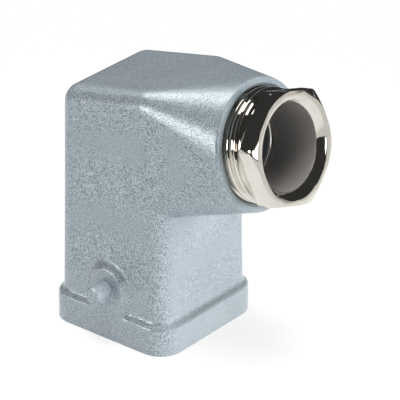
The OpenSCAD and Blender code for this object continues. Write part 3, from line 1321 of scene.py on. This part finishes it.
@dataclass
class Studio:
    """Camera, floor, world and lamps."""

    eye: Vector = field(default_factory=lambda: Vector((310.257, -375.541, 271.980)))
    target: Vector = field(default_factory=lambda: Vector((8.084, 2.871, 23.547)))
    roll: float = 0.429
    lens: float = 280.556
    floor_size: float = 3.0
    sky: float = 0.2
    canopy: float = 0.035
    floor_gap: float = 0.00005
    paper: Colour = (0.62, 0.625, 0.63)
    card_near: Colour = (0.95, 0.945, 0.925)
    card_far: Colour = (0.7, 0.69, 0.665)
    flag_size: float = 1.2
    flag_distance: float = 0.125
    flag_azimuth: float = 120
    lamps: Sequence[Lamp] = (
        Lamp("right_lamp", -10, 9, 0.8, (0.3, 0.2), 0.6),
        Lamp("front_lamp", -112, 13, 0.9, (0.24, 0.24), 2.0, (1, 0.97, 0.9)),
        Lamp("high_lamp", 172, 60, 0.9, (0.4, 0.4), 2.2, (1, 0.97, 0.9)),
        Lamp("side_fill", 15, 15, 0.9, (0.4, 0.4), 17.5, (1, 0.97, 0.95), mirrored=False),
        Lamp("top_fill", -60, 85, 0.9, (0.5, 0.5), 14.0, mirrored=False),
    )

    def camera(self) -> None:
        """Places the camera."""
        data = bpy.data.cameras.new("camera")
        data.lens = self.lens
        data.sensor_width = 36
        data.clip_start, data.clip_end = 0.01, 20
        item = bpy.data.objects.new("camera", data)
        back = (self.eye - self.target).normalized()
        right = Z_AXIS.cross(back).normalized()
        up = back.cross(right)
        angle = math.radians(self.roll)
        across = right * math.cos(angle) + up * math.sin(angle)
        turn = Matrix((across, back.cross(across), back)).transposed().to_4x4()
        item.matrix_world = Matrix.Translation(self.eye * MM) @ turn
        bpy.context.scene.collection.objects.link(item)
        bpy.context.scene.camera = item

    def stage_piece(self, name: str, bm: Mesh, surface: bpy.types.Material) -> bpy.types.Object:
        """Puts a piece of the set into the scene, in metres.

        Args:
            name: its name.
            bm: its mesh, which is freed.
            surface: its material.

        Returns:
            The piece.
        """
        item = as_object(name, bm)
        item.data.materials.append(surface)
        return item

    def floor(self) -> None:
        """A plain pale floor that is white where it is seen and keeps the object's shadow."""
        s = Shader("floor_paper")
        where = s.add("ShaderNodeTexCoord", output="Object")
        away = s.add("ShaderNodeVectorMath", {"operation": "LENGTH"}, {0: where}, output="Value")
        seen = s.add("ShaderNodeLightPath", output="Is Camera Ray")
        shine = s.add("ShaderNodeLightPath", output="Is Glossy Ray")
        paper = s.add("ShaderNodeBsdfDiffuse", None, {"Color": self.paper})
        white = s.glow((1, 1, 1))
        bare = seen * (away.ramp(0.02, 0.12) * 0.25 + 0.75)
        open_floor = s.add("ShaderNodeMixShader", None, {0: bare, 1: paper, 2: white})
        card = s.glow(s.blend(away.ramp(0.12, 0.24), self.card_near, self.card_far))
        s.end(s.add("ShaderNodeMixShader", None, {0: shine, 1: open_floor, 2: card}))
        bm = bmesh.new()
        bmesh.ops.create_circle(
            bm, cap_ends=True, cap_tris=False, segments=96, radius=self.floor_size / 2
        )
        self.stage_piece("floor", move(bm, Matrix.Translation((0, 0, -self.floor_gap))), s.material)

    def dark_flags(self) -> None:
        """A dark canopy and a dark flag behind the object, for mirror-like surfaces only."""
        dome = bmesh.new()
        bmesh.ops.create_uvsphere(
            dome, u_segments=64, v_segments=32, radius=0.48 * self.floor_size
        )
        trim(dome, 0.01 * Z_AXIS, -Z_AXIS, close=False)
        flag = bmesh.new()
        bmesh.ops.create_grid(flag, x_segments=1, y_segments=1, size=self.flag_size / 2)
        away = self.flag_distance + self.flag_size / 2
        turn = Matrix.Rotation(math.radians(self.flag_azimuth), 4, "Z")
        move(flag, turn @ Matrix.Translation((away, 0, 0.0002)))
        s = Shader("dark_cloth")
        s.end(s.glow((self.canopy,) * 3))
        for name, bm in (("dark_canopy", dome), ("dark_flag", flag)):
            item = self.stage_piece(name, bm, s.material)
            for ray in ("camera", "diffuse", "transmission", "volume_scatter", "shadow"):
                setattr(item, f"visible_{ray}", False)

    def world(self) -> None:
        """A sky that is white where it is seen, also in metal, and an even light otherwise."""
        sky = bpy.data.worlds.new("studio")
        bpy.context.scene.world = sky
        sky.use_nodes = True
        s = Shader("studio_sky", sky.node_tree, "ShaderNodeOutputWorld")
        seen = s.add("ShaderNodeLightPath", output="Is Camera Ray")
        shine = s.add("ShaderNodeLightPath", output="Is Glossy Ray")
        light, white = (
            s.add("ShaderNodeBackground", None, {"Color": (1, 1, 1), "Strength": strength})
            for strength in (self.sky, 1.0)
        )
        s.end(s.add("ShaderNodeMixShader", None, {0: seen + shine, 1: light, 2: white}))
        bpy.context.scene.view_settings.view_transform = "Standard"

    def build(self) -> None:
        """Makes everything that isn't the object."""
        self.floor()
        self.dark_flags()
        self.world()
        for lamp in self.lamps:
            lamp.build(Vector((8, 0, 24)) * MM)


def main() -> None:
    """Builds the connector and the studio round it."""
    logging.basicConfig(level=logging.INFO, format="%(message)s")
    studio = Studio()
    studio.camera()
    part = PackedPart(frame)
    hood = Hood(part, CoatFinish())
    hood.build()
    nickel = PlateFinish(
        "nickel_plate", (0.80, 0.775, 0.725), 0.06, 0.1, axis=hood.gland, bore=Gland.bore_radius
    )
    washer = PlateFinish("washer_plate", (0.78, 0.78, 0.76), 0.15, 0.1)
    seal = MouldedFinish("seal_rubber", (0.03, 0.036, 0.04), (0.045, 0.05, 0.055))
    Gland(part, hood.gland, nickel, washer, seal).build()
    finishes = (
        PlateFinish("zinc_plated_steel", (0.66, 0.67, 0.69), 0.28, 0.3),
        MouldedFinish(
            "insert_plastic", (0.62, 0.63, 0.6), (0.54, 0.55, 0.52), 0.46, 0.25,
            cloud=(90, 3, 0.5), cloud_edge=0.3, grain=(4200, 2, 0.6), depth=5e-6,
        ),
        PlateFinish("contact_silver", (0.84, 0.82, 0.78), 0.2, 0.2),
        PlateFinish("link_brass", (0.75, 0.56, 0.27), 0.3, 0.3),
        MouldedFinish("ring_rubber", (0.012, 0.012, 0.014), (0.03, 0.03, 0.033)),
    )
    SmallParts(part, {finish.name: finish.material() for finish in finishes}).build()
    studio.build()


if __name__ == "__main__":
    main()
